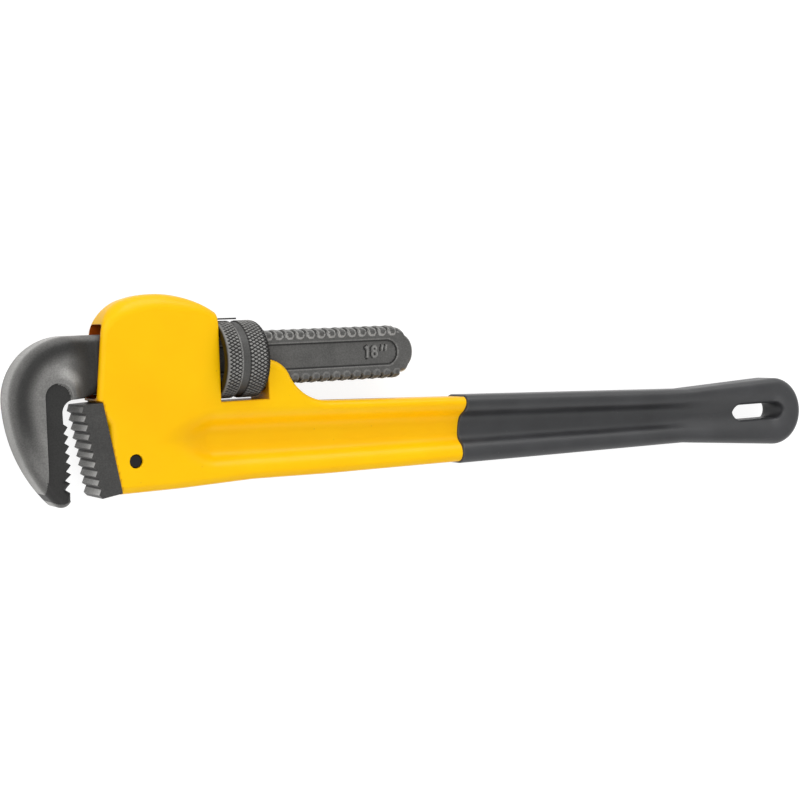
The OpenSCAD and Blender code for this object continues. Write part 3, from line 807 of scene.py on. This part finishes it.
def casting_tone(x, y, z):
    """1 on the outside of the casting, less as painted shade inside the channel, the notch and the
    heel seat.
    """
    inside = channel_field(x, y, z) < 0.25
    seat = (seat_edge(x, y) < 0.6) | (tongue_edge(x, y) < 0.2) & (abs(z) < 5)
    # painted shade: 0 inside the channel, 0.75 in the notch and along the heel seat
    return np.where(inside, 0.0, np.where(seat | (notch_field(x, y) < 0.2), 0.75, 1.0))


def casting_paint():
    """Yellow paint with a few specks of dirt, and painted shade of dark orange inside the casting.
    """
    deep, light = (1.0, 0.525, 0.0005), (1.0, 0.575, 0.001)
    speck, painted_shade_colour = (0.28, 0.13, 0.02), (0.4, 0.07, 0.003)
    p = Paint("casting_paint", Coat_Weight=0.06, Coat_Roughness=0.25, Specular_IOR_Level=0.12)
    broad, fine = p.noise(28), p.noise(420, 2.0)
    colour = p.mix(p.between(broad, 0.3, 0.7), deep, light)
    dirt = p.times(p.spots(260, 0.16), p.between(p.noise(90), 0.6, 0.7))
    colour = p.mix(p.times(dirt, 0.4), colour, speck)
    # painted shade: where casting_tone is below 1 the paint turns dark orange
    colour = p.mix(p.tone(), painted_shade_colour, colour)
    rough = p.between(fine, 0.3, 0.7, 0.3, 0.42)
    return p.end(colour, rough, [(broad, 0.25), (fine, 0.035)])


def vinyl():
    """Black dipped vinyl with a little dust."""
    deep, light, speck = (0.022, 0.0225, 0.024), (0.034, 0.0345, 0.037), (0.16, 0.15, 0.14)
    p = Paint("vinyl", Specular_IOR_Level=0.4)
    broad, fine = p.noise(45), p.noise(900, 2.0)
    colour = p.mix(p.between(broad, 0.3, 0.7), deep, light)
    dust = p.times(p.spots(420, 0.13), p.between(p.noise(120), 0.55, 0.65))
    colour = p.mix(p.times(dust, 0.35), colour, speck)
    rough = p.between(broad, 0.3, 0.7, 0.36, 0.46)
    return p.end(colour, rough, [(broad, 0.2), (fine, 0.025)])


def steel(name, rough, metal):
    """Steel of its stored reflectance, mottled by the oxide on it."""
    black, tint = (0.001, 0.001, 0.001), (1.0, 0.985, 0.95)
    p = Paint(name, Metallic=metal, Specular_IOR_Level=0.2)
    broad, fine, grain = p.noise(80), p.noise(700, 2.0), p.noise(1500, 1.0)
    tone = p.times(p.tone(), p.between(broad, 0.3, 0.7, 0.86, 1.14))
    tone = p.times(tone, p.between(grain, 0.3, 0.7, 0.84, 1.16))
    gloss = p.between(fine, 0.3, 0.7, rough - 0.05, rough + 0.08)
    return p.end(p.mix(tone, black, tint), gloss, [(broad, 0.08), (fine, 0.03)])


def heel_tone(x, y, z):
    """Cut faces of the heel jaw's teeth are lighter than its flanks; a band of each is painted dark
    as shade.
    """
    lean = math.radians(HEEL_LEAN)
    x, y = x - HEEL_TEETH[0][0], y - HEEL_TEETH[0][1]
    out = -(x * math.cos(lean) + y * math.sin(lean))
    down = (x * math.sin(lean) - y * math.cos(lean)) % TOOTH_PITCH
    cut = step_up(out, -TOOTH_DEPTH - 0.1, -TOOTH_DEPTH + 0.3) * (abs(z) < 9.5)
    # painted shade: 0.06 on the band within 2 mm of each tip; 0.6 as bright above the top tooth
    return 0.26 + cut * np.where(down < 2, 0.06, 0.52) * np.where(y > 0, 0.6, 1)


def nut_tone(x, y, z):
    """Lighter tips of the knurl, painted highlights along the front band's rims, painted shade on
    the front face, in the bore and lower down.
    """
    radius = np.hypot(y, z)
    tips = step_up(radius, NUT_R - 0.4, NUT_R - 0.05)
    groove = (x > GROOVE_FROM + 0.1) & (x < GROOVE_TO - 0.1)
    # painted highlights along the rims of the front band
    highlight_rims = np.minimum(abs(x - NUT_X - 0.4), abs(x - GROOVE_FROM + 0.3)) < 0.5
    # painted shade on the front face and in the bore
    face = (x < NUT_X + 0.1) | (radius < NUT_R - 4)
    # painted shade towards the bottom
    low = 1 - 0.3 * step_up(-y, 6, 16)
    skin = np.where(highlight_rims, 0.5, np.where(groove, 0.3, 0.12 + 0.43 * tips))
    return np.where(face, 0.03, skin * low)


# ---------------------------------------------------------------- pieces

def place(piece, body, material, slot, *nodes):
    """Gives a piece its material and the body it rides on, and hides the model's solids that it
    stands for.
    """
    piece.data.materials.append(material)
    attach(piece, body)
    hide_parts(*nodes)


def place_steel(piece, tone, body, slot, node, rough, metal=0.0):
    """Places a piece of steel; tone is a field or one brightness for the whole piece."""
    shade(piece, tone if callable(tone) else lambda x, y, z: tone)
    place(piece, body, steel(slot, rough, metal), slot, node)


def casting_grid(fine):
    """Grid of the casting, finer round the jaw housing."""
    return [grid(1.2, (120, 0.6 * fine), (424, 1.5 * fine)),
            grid(-63.6, (31.6, 0.62 * fine)), grid(-10.2, (10.2, 0.6 * fine))]


def grip_grid(fine):
    """Grid of the sleeve, finer at its front edge and round the hanging slot."""
    return [grid(190.2, (200, 0.5 * fine), (372, 1.5 * fine), (424, 0.8 * fine)),
            grid(-64.6, (-22, 0.6 * fine)), grid(-11.2, (11.2, 0.6 * fine))]


def leaf_section():
    """Section of the flat spring, its corners cut by LEAF_EDGE."""
    wide, thin, cut = LEAF_WIDTH / 2, LEAF / 2, LEAF_EDGE
    return [(cut - wide, thin), (wide - cut, thin), (wide, thin - cut), (wide, cut - thin),
            (wide - cut, -thin), (cut - wide, -thin), (-wide, cut - thin), (-wide, thin - cut)]


def build_pieces():
    fine = 1.0
    place(shade(contour("casting", casting_field, casting_grid(fine)), casting_tone), "handle",
          casting_paint(), "casting_paint", "handle_body")
    place(contour("grip_sleeve", grip_field, grip_grid(fine)),
          "handle", vinyl(), "vinyl", "vinyl_grip")
    axes = box_grid((-33.1, -61.2, -11.5), (173, 15, 11.5), 0.44 * fine)
    place_steel(contour("sliding_jaw", hook_field, axes), hook_tone,
                "jaw", "forged_steel", "hook_jaw", 0.45)
    axes = box_grid((-2.4, -59, -10.6), (31, -14.6, 10.6), 0.33 * fine)
    place_steel(contour("fixed_jaw", heel_field, axes), heel_tone,
                "handle", "heel_steel", "heel_jaw", 0.42)
    axes = box_grid((18.9, -46.1, -9.2), (26.6, -38.4, 9.2), 0.25)
    place_steel(contour("jaw_pin", pin_field, axes), 0.1,
                "handle", "pin_steel", "heel_jaw_pin", 0.4)
    place_steel(lathe("ring_nut", nut_profile(), NUT_STEPS, knurl), nut_tone,
                "nut", "nut_steel", "adjusting_nut", 0.42)
    place_steel(sweep("leaf_spring", leaf_path(), leaf_section(), (0, 0, 1)), 0.2,
                "leaf", "spring_steel", "flat_spring", 0.35)
    wire = [on_circle((0, 0), WIRE_R, a) for a in range(0, 360, 30)]
    place_steel(sweep("coil_spring_wire", coil_path(), wire, (0, 1, 0)), 0.6,
                "handle", "spring_wire", "coil_spring", 0.3, metal=0.8)


# ---------------------------------------------------------------- studio

AMBIENT = 0.37
SUNS = [  # name, direction towards it, strength, angle it fills in degrees
    ("left", (-0.75, 0.5, 0.35), 1.1, 50),
    ("top", (0.25, 0.9, 0.35), 1.5, 40),
    ("low", (0.0, -0.85, 0.5), 1.1, 60),
    ("front", (-0.3, 0.0, 0.95), 0.6, 60),
]
FLOOR_SIZE, FLOOR_Z = 6, -0.0002
FLOOR_GREY, FLOOR_LIFT = 0.3, 0.85
LENS, SENSOR = 72.84, 36
CAMERA_AT = (-240.758, 18.426, 672.89)
CAMERA_AXES = ((0.855700, -0.034507, 0.516320), (0.057243, 0.997963, -0.028172),
               (0.514296, -0.053663, -0.855932))  # right, up, ahead


def sun(name, towards, strength, angle):
    """Soft distant lamp in the given direction."""
    lamp = bpy.data.lights.new(name, "SUN")
    lamp.energy, lamp.angle = strength, math.radians(angle)
    piece = bpy.data.objects.new(name, lamp)
    piece.rotation_mode = "QUATERNION"
    piece.rotation_quaternion = Vector(towards).to_track_quat("Z", "Y")
    bpy.context.scene.collection.objects.link(piece)


def seen_directly(tree):
    """1 for rays from the camera and for mirrored and refracted ones, 0 for the light itself."""
    rays = tree.nodes.new("ShaderNodeLightPath").outputs
    seen = rays["Is Camera Ray"]
    for kind in ("Is Glossy Ray", "Is Transmission Ray"):
        either = tree.nodes.new("ShaderNodeMath")
        either.operation = "MAXIMUM"
        tree.links.new(seen, either.inputs[0])
        tree.links.new(rays[kind], either.inputs[1])
        seen = either.outputs[0]
    return seen


def build_world():
    """White surroundings that light the tool with only AMBIENT of their brightness."""
    world = bpy.data.worlds.new("studio")
    bpy.context.scene.world = world
    world.use_nodes = True
    tree = world.node_tree
    back = tree.nodes["Background"]
    level = tree.nodes.new("ShaderNodeMapRange")
    level.inputs["To Min"].default_value, level.inputs["To Max"].default_value = AMBIENT, 1.0
    tree.links.new(seen_directly(tree), level.inputs["Value"])
    tree.links.new(level.outputs["Result"], back.inputs["Strength"])
    back.inputs["Color"].default_value = (1, 1, 1, 1)


def build_floor():
    """Floor that looks white and keeps the shadow."""
    bpy.ops.mesh.primitive_plane_add(size=FLOOR_SIZE, location=(0, 0, FLOOR_Z))
    floor = bpy.context.object
    floor.name = "floor"
    material = bpy.data.materials.new("floor_white")
    material.use_nodes = True
    tree = material.node_tree
    shader = tree.nodes["Principled BSDF"]
    shader.inputs["Base Color"].default_value = (FLOOR_GREY, FLOOR_GREY, FLOOR_GREY, 1)
    shader.inputs["Roughness"].default_value = 0.9
    shader.inputs["Specular IOR Level"].default_value = 0.1
    shader.inputs["Emission Color"].default_value = (1, 1, 1, 1)
    lift = tree.nodes.new("ShaderNodeMath")
    lift.operation = "MULTIPLY"
    lift.inputs[1].default_value = FLOOR_LIFT
    tree.links.new(seen_directly(tree), lift.inputs[0])
    tree.links.new(lift.outputs[0], shader.inputs["Emission Strength"])
    floor.data.materials.append(material)


def build_camera():
    """Camera solved from the perspective of the photo."""
    camera = bpy.data.cameras.new("camera")
    camera.lens, camera.sensor_width = LENS, SENSOR
    piece = bpy.data.objects.new("camera", camera)
    right, up, ahead = CAMERA_AXES
    turn = Matrix([right, up, [-v for v in ahead]]).transposed().to_4x4()
    piece.matrix_world = Matrix.Translation(row(CAMERA_AT)) @ turn
    bpy.context.scene.collection.objects.link(piece)
    bpy.context.scene.camera = piece


scene = bpy.context.scene
scene.view_settings.view_transform = "Standard"
build_camera()
build_pieces()
build_world()
for settings in SUNS:
    sun(*settings)
build_floor()
